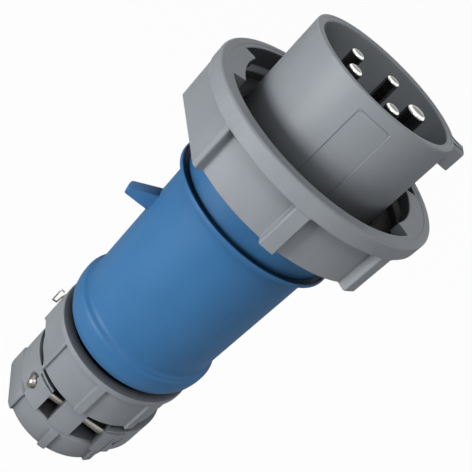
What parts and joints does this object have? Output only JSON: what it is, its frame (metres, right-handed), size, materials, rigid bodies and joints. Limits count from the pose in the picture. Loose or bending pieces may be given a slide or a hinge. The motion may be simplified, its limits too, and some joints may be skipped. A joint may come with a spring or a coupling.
{
  "type": "industrial pin and sleeve plug",
  "caption": "Watertight power plug: keyed sleeve round its pins, bayonet locking ring, grip body, and a gland nut with a screwed cable clamp.",
  "frame": {"origin": "centre of the rear face of the gland nut, on the plug's axis", "axes": "+Z along the plug towards the pins, +X through the key and the earth pin"},
  "size_m": [0.089, 0.089, 0.1867],
  "materials": {
    "grey_plastic": "moulded, fine satin",
    "blue_plastic": "moulded, satin",
    "pin_nickel": "turned and nickel plated, polished tips",
    "screw_steel": "plated",
    "black_rubber": "matt",
    "carrier_plastic": "moulded, matt"
  },
  "bodies": {
    "plug": {"sleeve_housing": "grey_plastic", "contact_carrier": "carrier_plastic", "earth_pin": "pin_nickel", "line_pin_1": "pin_nickel", "line_pin_2": "pin_nickel", "line_pin_3": "pin_nickel", "neutral_pin": "pin_nickel", "terminal_screws": "screw_steel", "face_seal": "black_rubber", "housing_seal": "black_rubber", "grip_body": "blue_plastic", "seal_cage": "carrier_plastic", "gland_seal": "black_rubber"},
    "ring": {"locking_ring": "grey_plastic"},
    "thrust": {"thrust_ring": "carrier_plastic"},
    "nut": {"gland_nut": "grey_plastic", "wire_clip": "screw_steel"},
    "left_jaw": {"clamp_jaw_left": "grey_plastic", "clamp_nut_far": "screw_steel"},
    "right_jaw": {"clamp_jaw_right": "grey_plastic", "clamp_nut_near": "screw_steel"},
    "near_screw": {"clamp_screw_near": "screw_steel"},
    "far_screw": {"clamp_screw_far": "screw_steel"}
  },
  "joints": [
    {"name": "ring_turn", "type": "hinge", "parent": "plug", "child": "ring", "pos_m": [0, 0, 0.1435], "axis": [0, 0, 1], "range_deg": [0, 50]},
    {"name": "gland_feed", "type": "slide", "parent": "plug", "child": "thrust", "axis": [0, 0, 1], "range_m": [-0.003, 0]},
    {"name": "nut_turn", "type": "hinge", "parent": "thrust", "child": "nut", "pos_m": [0, 0, 0.031], "axis": [0, 0, 1], "range_deg": [-360, 0]},
    {"name": "left_jaw_slide", "type": "slide", "parent": "nut", "child": "left_jaw", "axis": [1, 0, 0], "range_m": [0, 0.004]},
    {"name": "right_jaw_slide", "type": "slide", "parent": "nut", "child": "right_jaw", "axis": [-1, 0, 0], "range_m": [0, 0.004]},
    {"name": "near_screw_turn", "type": "hinge", "parent": "left_jaw", "child": "near_screw", "pos_m": [0, -0.0196, 0.019], "axis": [1, 0, 0], "range_deg": [0, 4115]},
    {"name": "far_screw_turn", "type": "hinge", "parent": "right_jaw", "child": "far_screw", "pos_m": [0, 0.0196, 0.019], "axis": [-1, 0, 0], "range_deg": [0, 4115]}
  ],
  "couplings": [
    {"joint": "gland_feed", "follows": "nut_turn", "m_per_rad": 0.00047746},
    {"joint": "right_jaw_slide", "follows": "left_jaw_slide", "ratio": 1},
    {"joint": "near_screw_turn", "follows": "left_jaw_slide", "rad_per_m": 17952},
    {"joint": "far_screw_turn", "follows": "left_jaw_slide", "rad_per_m": 17952}
  ]
}
